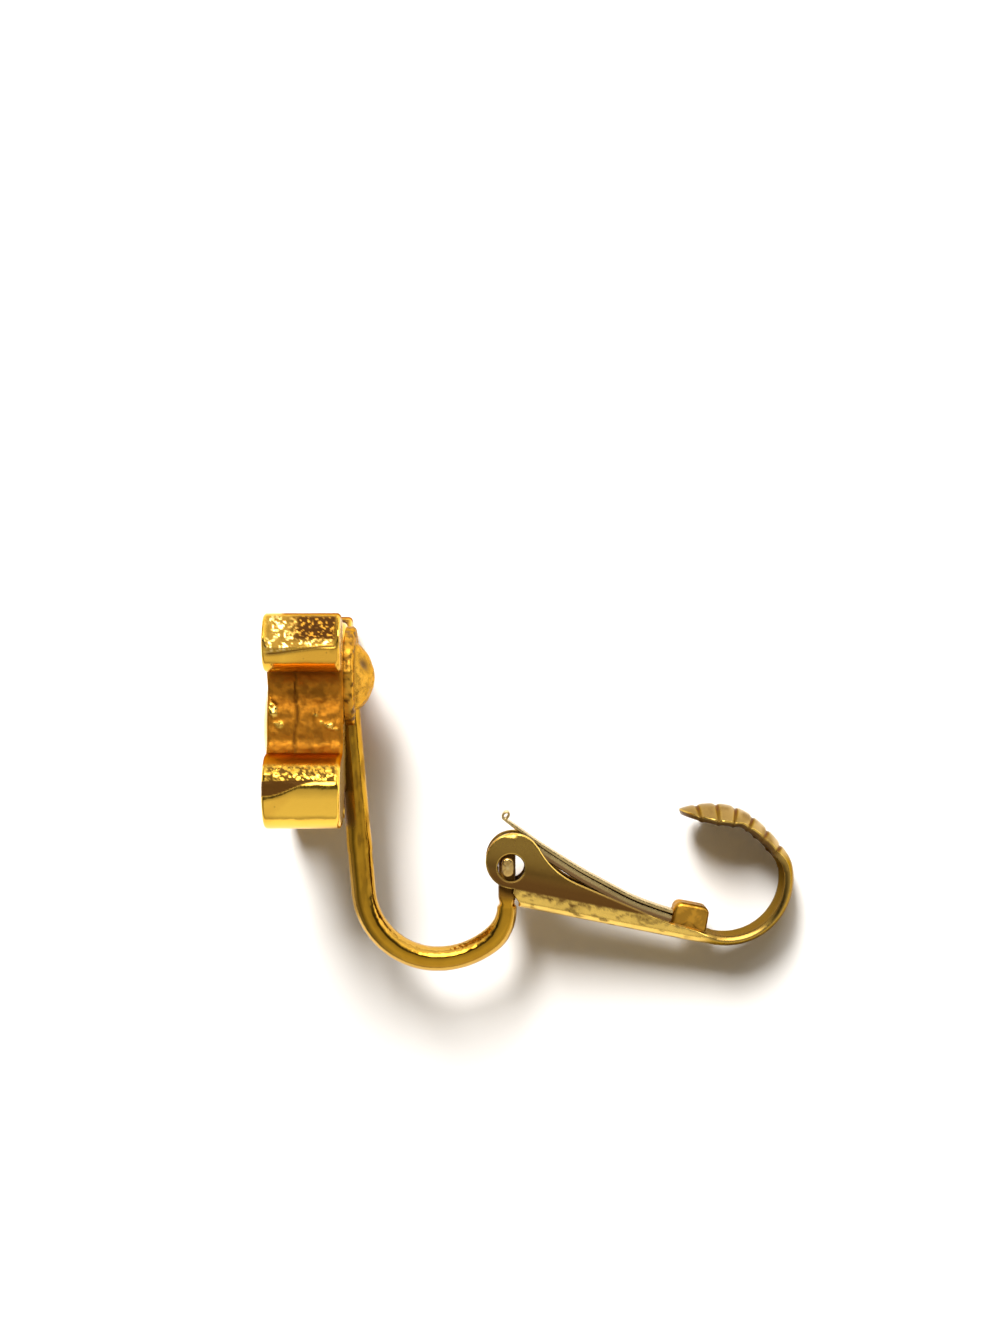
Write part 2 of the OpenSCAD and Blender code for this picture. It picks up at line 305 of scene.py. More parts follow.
def makeRoom():
    world = bpy.data.worlds.new("room")
    bpy.context.scene.world = world
    world.use_nodes = True
    n = Nodes(world.node_tree)
    ray = n.add("ShaderNodeTexCoord").outputs["Generated"]
    angle = n.math("ARCTAN2", n.dot(ray, up), n.dot(ray, hingeAxis))
    stops = [
        ((degrees + 180) / 360, [c * value / room["peak"] for c in room["tint"]])
        for degrees, value in room["bands"]
    ]
    bands = n.ramp(n.centred(angle, 0.5 / math.pi), stops)
    across = n.centred(n.dot(ray, up.cross(hingeAxis)), 0.5)
    dim = n.ramp(across, [((x + 1) / 2, [value / room["peak"]] * 3) for x, value in room["sides"]])
    spot = room["glow"]
    lamp = (uprightTurn @ Vector(spot["towards"])).normalized()
    glow = n.spread(n.dot(ray, lamp), spot["starts"], spot["full"], 0.0, spot["bright"] / room["peak"] ** 2)
    seen = n.add("ShaderNodeBackground", {
        "Color": n.mix(1.0, n.mix(1.0, bands, dim, "MULTIPLY"), glow, "ADD"), "Strength": room["peak"] ** 2,
    })
    fill = n.add("ShaderNodeBackground", {"Color": (*light["fillTint"], 1), "Strength": light["fill"]})
    pale = n.add("ShaderNodeBackground", {"Color": (1, 1, 1, 1), "Strength": room["paperSeen"]})
    path = n.add("ShaderNodeLightPath")
    soft = n.add("ShaderNodeMixShader", {0: path.outputs["Is Diffuse Ray"], 1: seen, 2: fill})
    shown = n.add("ShaderNodeMixShader", {0: path.outputs["Is Camera Ray"], 1: soft, 2: pale})
    n.add("ShaderNodeOutputWorld", {"Surface": shown})


def makeFloor():
    bpy.ops.mesh.primitive_plane_add(size=6)
    floor = bpy.context.object
    floor.name = "floor"
    paper = bpy.data.materials.new("paper")
    paper.use_nodes = True
    shader = paper.node_tree.nodes["Principled BSDF"]
    shader.inputs["Base Color"].default_value = (*light["paper"], 1)
    shader.inputs["Roughness"].default_value = 0.9
    floor.data.materials.append(paper)


makeRoom()
makeFloor()
print("camera, window, room and floor")

# Finishes. Metal is the clean colour, deep the darker colour of hollows and of painted shade, pale the worn
# tone, which on the wire and the front is painted highlight, and the tarnish colour serves both dirt and
# painted shade. Patch and grain are the scales of the noise, and stainFrom is where in the patches tarnish
# begins.
finishes = {
    "castGold": {
        "metal": (0.97, 0.585, 0.075),
        "deep": (0.50, 0.175, 0.011),
        "pale": (0.98, 0.86, 0.50),
        "tarnishAndShade": (0.055, 0.020, 0.004),
        "rough": (0.12, 0.24), "dull": 0.40, "patchShare": 0.25, "stainFrom": 0.68,
        "bump": 0.08, "grain": 5200, "patch": 420,
    },
    "wireGold": {
        "metal": (0.56, 0.295, 0.022),
        "deep": (0.40, 0.17, 0.010),
        "pale": (0.95, 0.74, 0.34),
        "tarnishAndShade": (0.09, 0.036, 0.007),
        "rough": (0.13, 0.22), "dull": 0.20, "patchShare": 0.30, "stainFrom": 0.72,
        "bump": 0.05, "grain": 6500, "patch": 600,
    },
    "agedBrass": {
        "metal": (0.90, 0.60, 0.13),
        "deep": (0.235, 0.132, 0.026),
        "pale": (0.36, 0.225, 0.075),
        "tarnishAndShade": (0.055, 0.020, 0.005),
        "rough": (0.16, 0.28), "dull": 0.16, "patchShare": 0.18, "stainFrom": 0.66,
        "bump": 0.05, "grain": 5200, "patch": 640,
    },
    "springBrass": {
        "metal": (0.66, 0.50, 0.22),
        "deep": (0.26, 0.15, 0.04),
        "pale": (0.86, 0.70, 0.40),
        "tarnishAndShade": (0.10, 0.05, 0.02),
        "rough": (0.20, 0.34), "dull": 0.16, "patchShare": 0.30, "stainFrom": 0.66,
        "bump": 0.05, "grain": 6500, "patch": 700,
    },
}


def makeFinish(name, s):
    material = bpy.data.materials.new(name)
    material.use_nodes = True
    n = Nodes(material.node_tree)
    place = n.add("ShaderNodeTexCoord").outputs["Object"]
    patches = n.noise(place, s["patch"], 0.5)
    grain = n.noise(place, s["grain"], 0.55)
    cells = n.add("ShaderNodeTexVoronoi", {"Vector": place, "Scale": s["grain"] * 0.35, "Randomness": 1.0})
    mask = {
        key: n.add("ShaderNodeAttribute", attribute_name=key).outputs["Fac"]
        for key in ("deep", "pale", "dirt", "polish")
    }
    patchy = n.math("MULTIPLY", n.spread(patches, 0.42, 0.68), s["patchShare"])
    metal = n.mix(n.math("MAXIMUM", patchy, mask["deep"]), (*s["metal"], 1), (*s["deep"], 1))
    metal = n.mix(mask["pale"], metal, (*s["pale"], 1))
    worn = n.math("MULTIPLY", n.spread(patches, s["stainFrom"], 0.80), 0.5)
    spots = n.math("MULTIPLY", n.spread(cells.outputs[0], 0.14, 0.02), n.spread(patches, 0.50, 0.62))
    patina = n.math("MAXIMUM", worn, n.math("MULTIPLY", spots, 0.6))
    # stain holds the dirt and painted shade mask as well as patina; all of it turns to the tarnish colour
    stain = n.math("MAXIMUM", patina, mask["dirt"], clamp=True)
    shaded = n.math("MAXIMUM", stain, mask["deep"])
    colour = n.mix(n.math("MULTIPLY", stain, 0.985), metal, (*s["tarnishAndShade"], 1))
    # dirt and painted shade dull, and polish smooths the grain
    rough = n.math("ADD", n.spread(grain, 0.35, 0.70, *s["rough"]), n.math("MULTIPLY", shaded, s["dull"]))
    roughness = n.math("MULTIPLY", rough, n.spread(mask["polish"], 0.0, 1.0, 1.0, 0.6), clamp=True)
    height = n.math("SUBTRACT", n.math("MULTIPLY", grain, 0.6), n.math("MULTIPLY", spots, 0.8))
    bump = n.add("ShaderNodeBump", {"Height": height, "Strength": s["bump"], "Distance": 0.00006})
    edge = n.mix(shaded, (1.0, 0.95, 0.82, 1), (0.42, 0.27, 0.10, 1))
    shader = n.add("ShaderNodeBsdfPrincipled", {
        "Base Color": colour,
        "Metallic": n.spread(stain, 0.3, 1.0, 1.0, 0.12),
        "Roughness": roughness,
        "Specular IOR Level": 0.25,
        "Specular Tint": edge,
        "Normal": bump,
    })
    n.add("ShaderNodeOutputMaterial", {"Surface": shader})
    return material


castGold, wireGold, agedBrass, springBrass = (makeFinish(k, finishes[k]) for k in finishes)
print("finishes made")

# Cast front: round petals joined by hollow fillets, drawn as seen from the pad side. A petal is across,
# height and radius. A cut starts with the degrees up from the side that it faces. The upper one then has
# the share of the radius that is left, the lower one its depth at the face. The dome is its radius and rise.
# A burr is depth, height, half its length, half its height and slope.
front = {
    "back": -9.72,
    "depth": 4.52,
    "hub": (0.0, 8.4, 4.0),
    "topPetal": (0.0, 12.1, 2.6),
    "upperPetal": (5.07, 13.43, 1.73),
    "lowerPetal": (4.59, 4.73, 2.21),
    "fillets": {"top": 0.8, "upper": 1.2, "lower": 0.9},
    "step": 0.085,
    "wallRows": 46,
    "backRim": 0.26,
    "backGrid": 0.17,
    "faceRim": 0.20,
    "faceGrid": 0.11,
    "rimDip": 0.05,
    "dome": (3.2, 0.48),
    "pillow": 0.16,
    "upperCut": (25, 0.80),
    "lowerCut": (9, 0.15),
    "crease": 2.78,
    "burrs": [
        (0.75, 8.55, 0.62, 0.20, 0.30),
        (4.1, 9.5, 0.32, 0.55, 0.0),
        (3.8, 8.7, 0.3, 0.28, 0.4),
        (1.5, 9.2, 0.3, 0.16, 0.2),
    ],
}


def filletBetween(a, b, radius):
    # circle that touches circles a and b from outside, on the right of the way from a to b
    along = np.array(b[:2]) - np.array(a[:2])
    reach = np.linalg.norm(along)
    ra, rb = a[2] + radius, b[2] + radius
    x = (reach ** 2 + ra ** 2 - rb ** 2) / (2 * reach)
    y = math.sqrt(ra ** 2 - x ** 2)
    along /= reach
    right = np.array([along[1], -along[0]])
    return (*(np.array(a[:2]) + along * x + right * y), radius)


def frontOutline():
    mirrored = lambda c: (-c[0], c[1], c[2])
    f, hub = front["fillets"], front["hub"]
    upper, lower = front["upperPetal"], front["lowerPetal"]
    # each circle with the radius of the fillet that follows it
    chain = [
        (front["topPetal"], f["top"]),
        (mirrored(upper), f["upper"]),
        (hub, f["lower"]),
        (mirrored(lower), f["lower"]),
        (hub, f["lower"]),
        (lower, f["lower"]),
        (hub, f["upper"]),
        (upper, f["top"]),
    ]
    circles = [circle for circle, _ in chain]
    following = circles[1:] + circles[:1]
    fillets = [filletBetween(a, b, radius) for (a, radius), b in zip(chain, following)]
    points = []
    for i, circle in enumerate(circles):
        before, after = fillets[i - 1], fillets[i]
        start, end = angleTo(circle, before), angleTo(circle, after)
        points += arcPoints(circle[:2], circle[2], start, start + (end - start) % 360, front["step"])
        start, end = end + 180, angleTo(after, following[i])
        points += arcPoints(after[:2], after[2], start, start - (start - end) % 360, front["step"])
    return np.array(points)


def petalLean(points, normals):
    # how far each rim point faces away from the tip of its petal, 0 at the tip and 1 in the hollows
    lean = np.ones(len(points))
    hub = np.array(front["hub"][:2])
    sides = [(side * x, y, r) for x, y, r in (front["upperPetal"], front["lowerPetal"]) for side in (1, -1)]
    for x, y, radius in [front["topPetal"]] + sides:
        centre = np.array((x, y))
        outward = (centre - hub) / np.linalg.norm(centre - hub)
        near = np.linalg.norm(points - centre, axis=1) < radius + 0.05
        turn = np.degrees(np.arccos(np.clip(normals @ outward, -1, 1)))
        lean = np.where(near, smooth(112, 145, turn), lean)
    return lean


def buildFront():
    rim = frontOutline()
    out = loopNormals(rim)
    lean = petalLean(rim, out)
    top = front["depth"] - front["rimDip"] * lean
    backRim, faceRim = front["backRim"], front["faceRim"]
    skin = Skin()

    def wallRow(inset, depths):
        for edge, normal, depth, leaning in zip(rim - out * inset, out, depths, lean):
            relief, masks = wallSkin((*edge, depth), normal, leaning)
            across, height = edge - normal * relief
            skin.add((front["back"] - depth, height, across), **masks)

    for depth, inset in quarterRound(backRim):
        wallRow(inset, np.full(len(rim), depth))
    for k in range(1, front["wallRows"]):
        wallRow(0.0, backRim + (top - faceRim - backRim) * k / front["wallRows"])
    for inset, drop in quarterRound(faceRim):
        wallRow(inset, top - drop)
    rings = len(skin.points) // len(rim)
    faces = ringFaces(rings, len(rim))
    faces += fillSide(skin, rim, rim - out * backRim, 0, front["backGrid"], backDepth)
    faces += fillSide(
        skin, rim, rim - out * faceRim, (rings - 1) * len(rim), front["faceGrid"],
        lambda p, away: faceDepth(p, away, top),
    )
    return addPiece("castFront", skin, faces, "front", "front_and_arm", castGold, 38)


def fillSide(skin, rim, loop, ringStart, step, depthAt):
    # the back or the face: points on a fine grid inside the loop, whose own points start at ringStart
    low, high = loop.min(0), loop.max(0)
    columns, rows = np.arange(low[0], high[0], step), np.arange(low[1], high[1], step)
    grid = np.array([(x, y) for y in rows for x in columns])
    grid = grid[insideLoop(grid, loop)]
    grid = grid[nearest(grid, loop) > step * 0.6]
    flat, tris = fillOutline([loop], grid)
    index = [ringStart + k for k in range(len(loop))]
    for p in flat[len(loop):]:
        depth, dirt = depthAt(p, np.linalg.norm(rim - p, axis=1))
        index.append(len(skin.points))
        skin.add((front["back"] - depth, p[1], p[0]), dirt=dirt, polish=0.3)
    return [tuple(index[v] for v in tri) for tri in tris]


def backDepth(p, away):
    # the flat back is a little rough, with patches, and darker below
    rough = 0.025 * (fineNoise((*p, 3.0), 1.6) + 1) + 0.03 * abs(fineNoise((*p, 2.0), 3.4, 3))
    patches = smooth(-0.1, 0.35, fineNoise((*p, 8.0), 1.5, 3))
    depth = 0.02 + rough * min(1.0, away.min() - front["backRim"])
    return depth, 0.15 + 0.6 * max(patches, smooth(8.0, 6.5, p[1]))


def onPetal(spot, petal):
    return math.dist((abs(spot[0]), spot[1]), petal[:2]) < petal[2] + 0.05


def facet(spot, outward, facing, radius, reach):
    # how far a flat cut on a near petal, facing so many degrees up from the side, lies under the round petal
    if spot[0] < 0:
        return 0.0
    angle = math.atan2(outward[1], outward[0])
    return max(0.0, radius * math.cos(angle - math.radians(facing)) - reach)


def upperPetalSkin(spot, outward, edge, pitNoise):
    # a crinkled flat cut, pitted near the back and with a painted highlight near the face, over a shallow
    # scored line painted dark as a reflection, and smooth amber
    turned, depth, radius = outward[1], spot[2], front["upperPetal"][2]
    facing, share = front["upperCut"]
    line = -0.14 - 0.26 * smooth(0.3, front["depth"], depth)
    crinkle = smooth(line, line + 0.12, turned) * smooth(0.96, 0.86, turned) * edge
    # a shallow scored groove, painted dark as the dark reflection along the facet's edge
    scoreAndDarkReflection = math.exp(-((turned - line) / 0.065) ** 2) * edge * smooth(0.0, 0.5, abs(outward[0]))
    nearBack = smooth(3.3, 2.2, depth) * smooth(0.0, 0.2, turned)
    pit = max(
        smooth(-0.16, 0.04, pitNoise),
        nearBack * smooth(-0.42, -0.20, pitNoise),
        (1 - nearBack) * smooth(0.02, 0.16, fineNoise(spot, 1.5, 2)),
    )
    return {
        "relief": facet(spot, outward, facing, radius, radius * share) * edge + 0.04 * scoreAndDarkReflection,
        "crinkle": crinkle,
        "dirt": max(scoreAndDarkReflection, pit * crinkle * (0.75 + 0.25 * nearBack)),
        "deep": max(
            0.7 * crinkle * nearBack,
            0.35 * smooth(line, line - 0.1, turned) * smooth(4.4, 1.8, depth),
            0.9 * smooth(0.90, 0.96, turned) * smooth(3.6, 3.2, depth),
        ),
        # pale near the face is a painted highlight on the crinkled cut
        "pale": 0.45 * crinkle * (1 - pit) * (1 - nearBack),
    }


def lowerPetalSkin(spot, outward, edge, pitNoise):
    # a crinkled band over a crescent painted dark as a reflection, and one smooth flat cut below
    turned, depth, radius = outward[1], spot[2], front["lowerPetal"][2]
    facing, cut = front["lowerCut"]
    crinkle = smooth(0.24, 0.34, turned) * smooth(0.76, 0.66, turned) * edge
    low = 0.29 - 0.40 * smooth(1.2, 4.4, depth)
    # the crescent is a painted reflection: a dark band where the wall would mirror the dark room
    crescent = smooth(low - 0.02, low + 0.03, turned) * smooth(0.37, 0.32, turned)
    reach = radius - cut * smooth(2.3, front["depth"], depth)
    return {
        "relief": facet(spot, outward, facing, radius, reach),
        "crinkle": crinkle,
        "dirt": max(
            crescent * smooth(0.0, 0.08, depth / front["depth"]),
            0.95 * smooth(-0.16, 0.04, pitNoise) * crinkle,
        ),
        "deep": smooth(0.66, 0.78, turned),
        "pale": 0.0,
    }


def burrAt(spot):
    # raised burrs in the near hollow, broken up by noise, which the walls paint bright as highlight
    across, height, depth = spot
    if across <= 0:
        return 0.0
    burr = max(
        math.exp(-((depth - d) / long) ** 2 - ((height - h - slope * (depth - d)) / tall) ** 2)
        for d, h, long, tall, slope in front["burrs"]
    )
    return burr * smooth(-0.40, 0.15, fineNoise(spot, 2.6, 3))


def wallSkin(spot, outward, lean):
    # relief and masks of the side walls: each petal's own skin, and amber, creased hollows between them,
    # with painted shade on the walls that face down
    height, depth = spot[1:]
    share = depth / front["depth"]
    edge = smooth(0.0, 0.08, share) * smooth(1.0, 0.90, share)
    hollow = smooth(0.70, 0.98, lean)
    wall = {"relief": 0.0, "crinkle": 0.0, "dirt": 0.0, "deep": 0.0, "pale": 0.0}
    pitNoise = fineNoise(spot, 5.2, 2)
    if onPetal(spot, front["upperPetal"]):
        wall = upperPetalSkin(spot, outward, edge, pitNoise)
    if onPetal(spot, front["lowerPetal"]):
        wall = lowerPetalSkin(spot, outward, edge, pitNoise)
    crinkle = wall["crinkle"]
    sway = 0.10 * math.sin(height * 2.2)
    crease = math.exp(-((depth - front["crease"] + sway) / 0.07) ** 2) * hollow * edge
    lumps = (0.10 * abs(fineNoise(spot, 0.9, 2)) + 0.03 * abs(fineNoise(spot, 3.0, 2))) * hollow * edge
    wrinkles = 0.075 * abs(fineNoise(spot, 4.6, 3)) * crinkle
    # painted shade: hollow walls that face down are darkened, above the hub's middle and low on the front;
    # the blotches are real dirt
    under = smooth(-0.2, -0.6, outward[1]) * (lean > 0.9) * (height > front["hub"][1])
    paintedLowShade = smooth(-0.1, -0.5, outward[1]) * (height < 5.5)
    blotch = smooth(-0.05, 0.4, fineNoise(spot, 1.6, 3))
    shadeAndGrime = hollow * max(0.45 * under, 0.85 * paintedLowShade, 0.08 + 0.36 * blotch)
    burr = burrAt(spot) * hollow
    skin = 0.010 * (fineNoise(spot, 1.1) + 1)
    masks = {
        # the burrs are kept clear of the hollow's dark colour and made paler: painted highlight on raised
        # relief
        "dirt": max(wall["dirt"], 0.7 * crease, shadeAndGrime) * (1 - smooth(0.2, 0.5, burr)),
        "polish": 1 - max(crinkle, hollow),
        "deep": max(wall["deep"], 0.9 * hollow) * (1 - smooth(0.2, 0.6, burr)),
        "pale": max(wall["pale"], 0.1 * smooth(0.3, 0.8, burr)),
    }
    return skin + wall["relief"] + wrinkles + 0.07 * crease + lumps - 0.12 * burr, masks


def faceDepth(p, away, top):
    # the decorated face: its rim dips between the petals, the middle is domed, each petal is a low pillow
    weight = 1.0 / (away ** 3 + 1e-6)
    rimTop = float((top * weight).sum() / weight.sum())
    near = float(away.min())
    pillow = front["pillow"] * smooth(0.3, 1.5, near)
    domeRadius, domeRise = front["dome"]
    ball = (domeRadius ** 2 + domeRise ** 2) / (2 * domeRise)
    reach = math.dist(p, front["hub"][:2])
    dome = front["depth"] + domeRise - ball + math.sqrt(max(0.0, ball ** 2 - min(reach, domeRadius) ** 2))
    groove = 0.16 * math.exp(-((reach - domeRadius - 0.16) / 0.15) ** 2)
    petal = rimTop + pillow - groove - 0.02 * abs(fineNoise((*p, 0), 2.4, 3))
    if reach < domeRadius:
        edge = smooth(domeRadius, domeRadius - 0.35, reach)
        height = petal + (dome - 0.012 * abs(fineNoise((*p, 5), 2.0)) - petal) * edge
        return float(height), 0.0
    return float(petal), float(min(1.0, groove * 3.0))


buildFront()

# Solder pad: a small domed disc, slightly crumpled, soldered on the back of the front. A dent is up, across,
# radius and depth.
pad = {
    "height": 11.4,
    "radius": 3.1,
    "rim": 0.57,
    "rimRound": 0.2,
    "domeRadius": 2.1,
    "rise": 1.1,
    "around": 144,
    "dents": [(0.75, 1.15, 0.50, 0.22), (-0.9, 0.9, 0.6, 0.06), (1.1, -0.6, 0.5, 0.08)],
}


def padPoint(r, h, turn):
    # a point of the pad at radius r and height h over the back, with its masks
    rise, across = r * math.cos(turn), r * math.sin(turn)
    spot = (rise, across, h)
    onRim = smooth(pad["domeRadius"] - 0.1, pad["domeRadius"] + 0.25, r)
    drop = 0.06 * abs(fineNoise(spot, 1.1, 2)) + (0.012 + 0.09 * onRim) * abs(fineNoise(spot, 2.2, 3))
    # painted shade: a dark ring where the dome meets the rim, and darkening in the dents
    padShade = 0.5 * math.exp(-((r - pad["domeRadius"]) / 0.08) ** 2)
    bowls = [
        (depth, math.exp(-((rise - dentRise) ** 2 + (across - dentAcross) ** 2) / radius ** 2))
        for dentRise, dentAcross, radius, depth in pad["dents"]
    ]
    drop += sum(depth * bowl for depth, bowl in bowls)
    padShade += max(bowl * min(1.0, depth * 4.0) for depth, bowl in bowls)
    mottle = smooth(-0.1, 0.4, fineNoise(spot, 2.6, 3)) * (0.45 + 0.35 * onRim)
    ragged = 0.05 * (fineNoise((rise, across, 9.0), 1.8) + 1)
    ragged += 0.05 * abs(fineNoise((rise, across, h * 2), 4.5, 3))
    keep = 1 - ragged * smooth(0.6, 1.0, r / pad["radius"]) / pad["radius"]
    point = (front["back"] + h - drop * smooth(-0.02, 0.3, h), pad["height"] + rise * keep, across * keep)
    return point, {"dirt": min(1.0, max(mottle, padShade)), "polish": 0.5, "deep": 0.5 + 0.1 * onRim}


def buildPad():
    radius, rim, domeRadius, rise = pad["radius"], pad["rim"], pad["domeRadius"], pad["rise"]
    ball = (domeRadius ** 2 + rise ** 2) / (2 * rise)
    profile = [(radius, -0.02), (radius, rim * 0.4)]
    profile += [(radius - inset, rim - drop) for inset, drop in quarterRound(pad["rimRound"])]
    profile += [(r, rim) for r in np.linspace(radius - pad["rimRound"], domeRadius, 10)[1:-1]]
    for r in np.linspace(domeRadius, 0.05, 30):
        profile.append((r, rim + math.sqrt(ball ** 2 - r ** 2) - ball + rise))
    skin = Skin()
    for r, h in profile:
        for i in range(pad["around"]):
            point, masks = padPoint(r, h, 2 * math.pi * i / pad["around"])
            skin.add(point, **masks)
    faces = ringFaces(len(profile), pad["around"])
    last = (len(profile) - 1) * pad["around"]
    faces += fanFaces(last, pad["around"], len(skin.points))
    skin.add(np.mean(skin.points[last:], axis=0), polish=0.5)
    faces += fanFaces(0, pad["around"], len(skin.points))
    skin.add((front["back"] - 0.02, pad["height"], 0.0), polish=0.5)
    return addPiece("solderPad", skin, faces, "front", "front_and_arm", castGold, 60)


buildPad()

# Wire arm: round wire bent in a U, pressed flat at the hinge into a tang between the ears
wire = {
    "radius": 0.75,
    "lean": 5.0,
    "length": 11.4,
    "bends": [(4.50, 185, 270), (5.20, 270, 308.7), (2.53, 308.7, 360)],
    "firstCentre": (-4.25, -1.17),
    "pressed": (0.61, 0.80),
    "neck": (0.46, 0.86),
    "tang": (0.53, 1.05),
    "tangX": -0.05,
    "tangTop": 1.36,
    "step": 0.09,
    "around": 60,
}


def wirePath():
    # points of the centreline and the way each one faces, from the pad down the arm to the top of the tang
    centre = np.array(wire["firstCentre"])
    radius, start, _ = wire["bends"][0]
    foot = centre + radius * unitAt(start)
    rise = unitAt(90 + wire["lean"])
    count = int(wire["length"] / wire["step"])
    path = [(foot + rise * wire["length"] * (1 - k / count), -rise) for k in range(count)]
    for k, (radius, start, end) in enumerate(wire["bends"]):
        if k:
            centre = centre + (wire["bends"][k - 1][0] - radius) * unitAt(start)
        steps = int(math.radians(end - start) * radius / wire["step"])
        turns = [start + (end - start) * i / steps for i in range(steps)]
        path += [(centre + radius * unitAt(turn), unitAt(turn + 90)) for turn in turns]
    tail = centre + wire["bends"][-1][0] * unitAt(360)
    heights = list(np.arange(tail[1], wire["tangTop"] - 0.004, wire["step"] * 0.8))
    for y in heights + [wire["tangTop"] - gap for gap in (0.03, 0.01, 0.001)]:
        if y >= path[-1][0][1]:
            x = tail[0] + (wire["tangX"] - tail[0]) * smooth(tail[1], tail[1] + 0.5, y)
            path.append((np.array([float(x), y]), np.array([0.0, 1.0])))
    return path, tail[1]


def wireSection(along, total, point, hingeFoot):
    # half thickness in the plane of the U, half width across it, and how square the section is
    r, y = wire["radius"], point[1]
    if along < total:
        share = smooth(total - 2.4, total, along)
        kink = 0.035 * smooth(0.7, 1.0, y) * smooth(2.2, 1.2, y) if point[0] < -4 else 0.0
        thick, wide = (r + (pressed - r) * share for pressed in wire["pressed"])
        return thick + kink, wide, 2 + 0.8 * share
    neck = smooth(hingeFoot, hingeFoot + 0.28, y)
    flare = smooth(hingeFoot + 0.18, hingeFoot + 0.75, y)
    thick, wide = (
        pressed + (narrow - pressed) * neck + (broad - narrow) * flare
        for pressed, narrow, broad in zip(wire["pressed"], wire["neck"], wire["tang"])
    )
    over = y - (wire["tangTop"] - wire["tang"][0])
    if over > 0:
        close = math.sqrt(max(0.0, 1 - (over / wire["tang"][0]) ** 2))
        thick, wide = thick * close, wide - 0.12 * (1 - close)
    return thick, wide, 2.8 + 3 * flare


def wireMasks(c, reach, spot, tangInShade):
    # c is 1 on the inside of the U and -1 on its outside, and reach is the way along the wire
    x, y, z = spot
    inner = smooth(0.15, 0.8, c) * smooth(9.0, 16.5, reach) * smooth(24.0, 21.5, reach)
    seam = 0.5 * smooth(13.2, 12.2, reach) * smooth(-0.15, -0.75, c)
    streak = 0.5 * smooth(-0.1, 0.4, fineNoise((x * 1.4, y * 0.4, z), 1.6, 3)) * smooth(14, 9, reach)
    solder = 0.85 * smooth(8.2, 7.0, reach) * smooth(0.15, -0.25, c)
    # pale is a painted reflection on the outer side of the U and a painted highlight on its inner band
    pale = 0.18 * smooth(-0.45, -0.8, c) * smooth(8.5, 11.5, reach) + 0.1 * inner
    return {"dirt": max(seam, streak, solder, 0.85 * tangInShade), "polish": 1 - inner, "pale": pale}


def buildWire():
    path, hingeFoot = wirePath()
    spots = np.array([p for p, _ in path])
    along = np.concatenate([[0], np.cumsum(np.linalg.norm(np.diff(spots, axis=0), axis=1))])
    total = float(along[np.argmax((spots[:, 0] > -1) & (spots[:, 1] >= hingeFoot - 1e-6))])
    size = wire["around"]
    skin = Skin()
    for (p, way), reach in zip(path, along):
        thick, wide, square = wireSection(float(reach), total, p, hingeFoot)
        side = np.array([-way[1], way[0]])  # towards the inside of the U
        for i in range(size):
            c, s = unitAt(360 * i / size)
            grow = (abs(c) ** square + abs(s) ** square) ** (-1 / square)
            x, y = p + side * thick * c * grow
            z = wide * s * grow
            # painted shade: the tang and neck below the hinge, set back between the ears, are darkened
            tangInShade = smooth(-2.3, -1.7, p[1]) * (reach > total)
            masks = wireMasks(c, reach, (x, y, z), tangInShade)
            inner = 1 - masks["polish"]
            rub = 0.012 * abs(fineNoise((x, y, z), 1.1)) + 0.05 * inner * abs(fineNoise((x, y, z), 6.0, 3))
            rub *= smooth(0.0, 0.3, thick)
            x, y = np.array((x, y)) - side * rub * c * grow
            skin.add((x, y, z - rub * s * grow), **masks)
    faces = ringFaces(len(path), size)
    for ring in (0, len(path) - 1):
        faces += fanFaces(ring * size, size, len(skin.points))
        skin.add((*path[ring][0], 0.0), dirt=0.9, polish=0.5)
    return addPiece("wireArm", skin, faces, "front", "front_and_arm", wireGold, 50)


buildWire()

# Hinge lugs: an oval pin that stands out of the tang on both sides, its ends peened round. A ring is its
# share of the section and of the way to the end.
lug = {
    "high": 0.56,
    "wide": 0.38,
    "end": 1.75,
    "around": 48,
    "rings": [(1.0, 0.0), (1.0, 0.93), (0.97, 0.965), (0.88, 0.988), (0.7, 0.997), (0.4, 1.0)],
}


def buildLugs():
    size = lug["around"]
    section = []
    for i in range(size):
        x, y = (math.copysign(abs(c) ** 0.8, c) for c in unitAt(360 * i / size))
        section.append((lug["wide"] * x, lug["high"] * y))
    skin, faces = Skin(), []
    for side in (-1, 1):
        first = len(skin.points)
        for k, (shrink, share) in enumerate(lug["rings"]):
            buried = k < 2
            for x, y in section:
                dent = 0.0 if buried else 0.03 * abs(fineNoise((x, y, side * 3.0), 3.5))
                point = (x * shrink, y * shrink, side * (lug["end"] * share - dent))
                skin.add(point, dirt=0.85 * buried, pale=0.4 * (not buried), polish=0.4)
        faces += [tuple(first + v for v in face) for face in ringFaces(len(lug["rings"]), size)]
        faces += fanFaces(len(skin.points) - size, size, len(skin.points))
        skin.add((0.0, 0.0, side * (lug["end"] - 0.012)), pale=0.8, polish=0.4)
        faces += fanFaces(first, size, len(skin.points))
        skin.add((0.0, 0.0, 0.0), dirt=0.85, polish=0.4)
    return addPiece("hingeLugs", skin, faces, "front", "front_and_arm", wireGold, 35)


buildLugs()

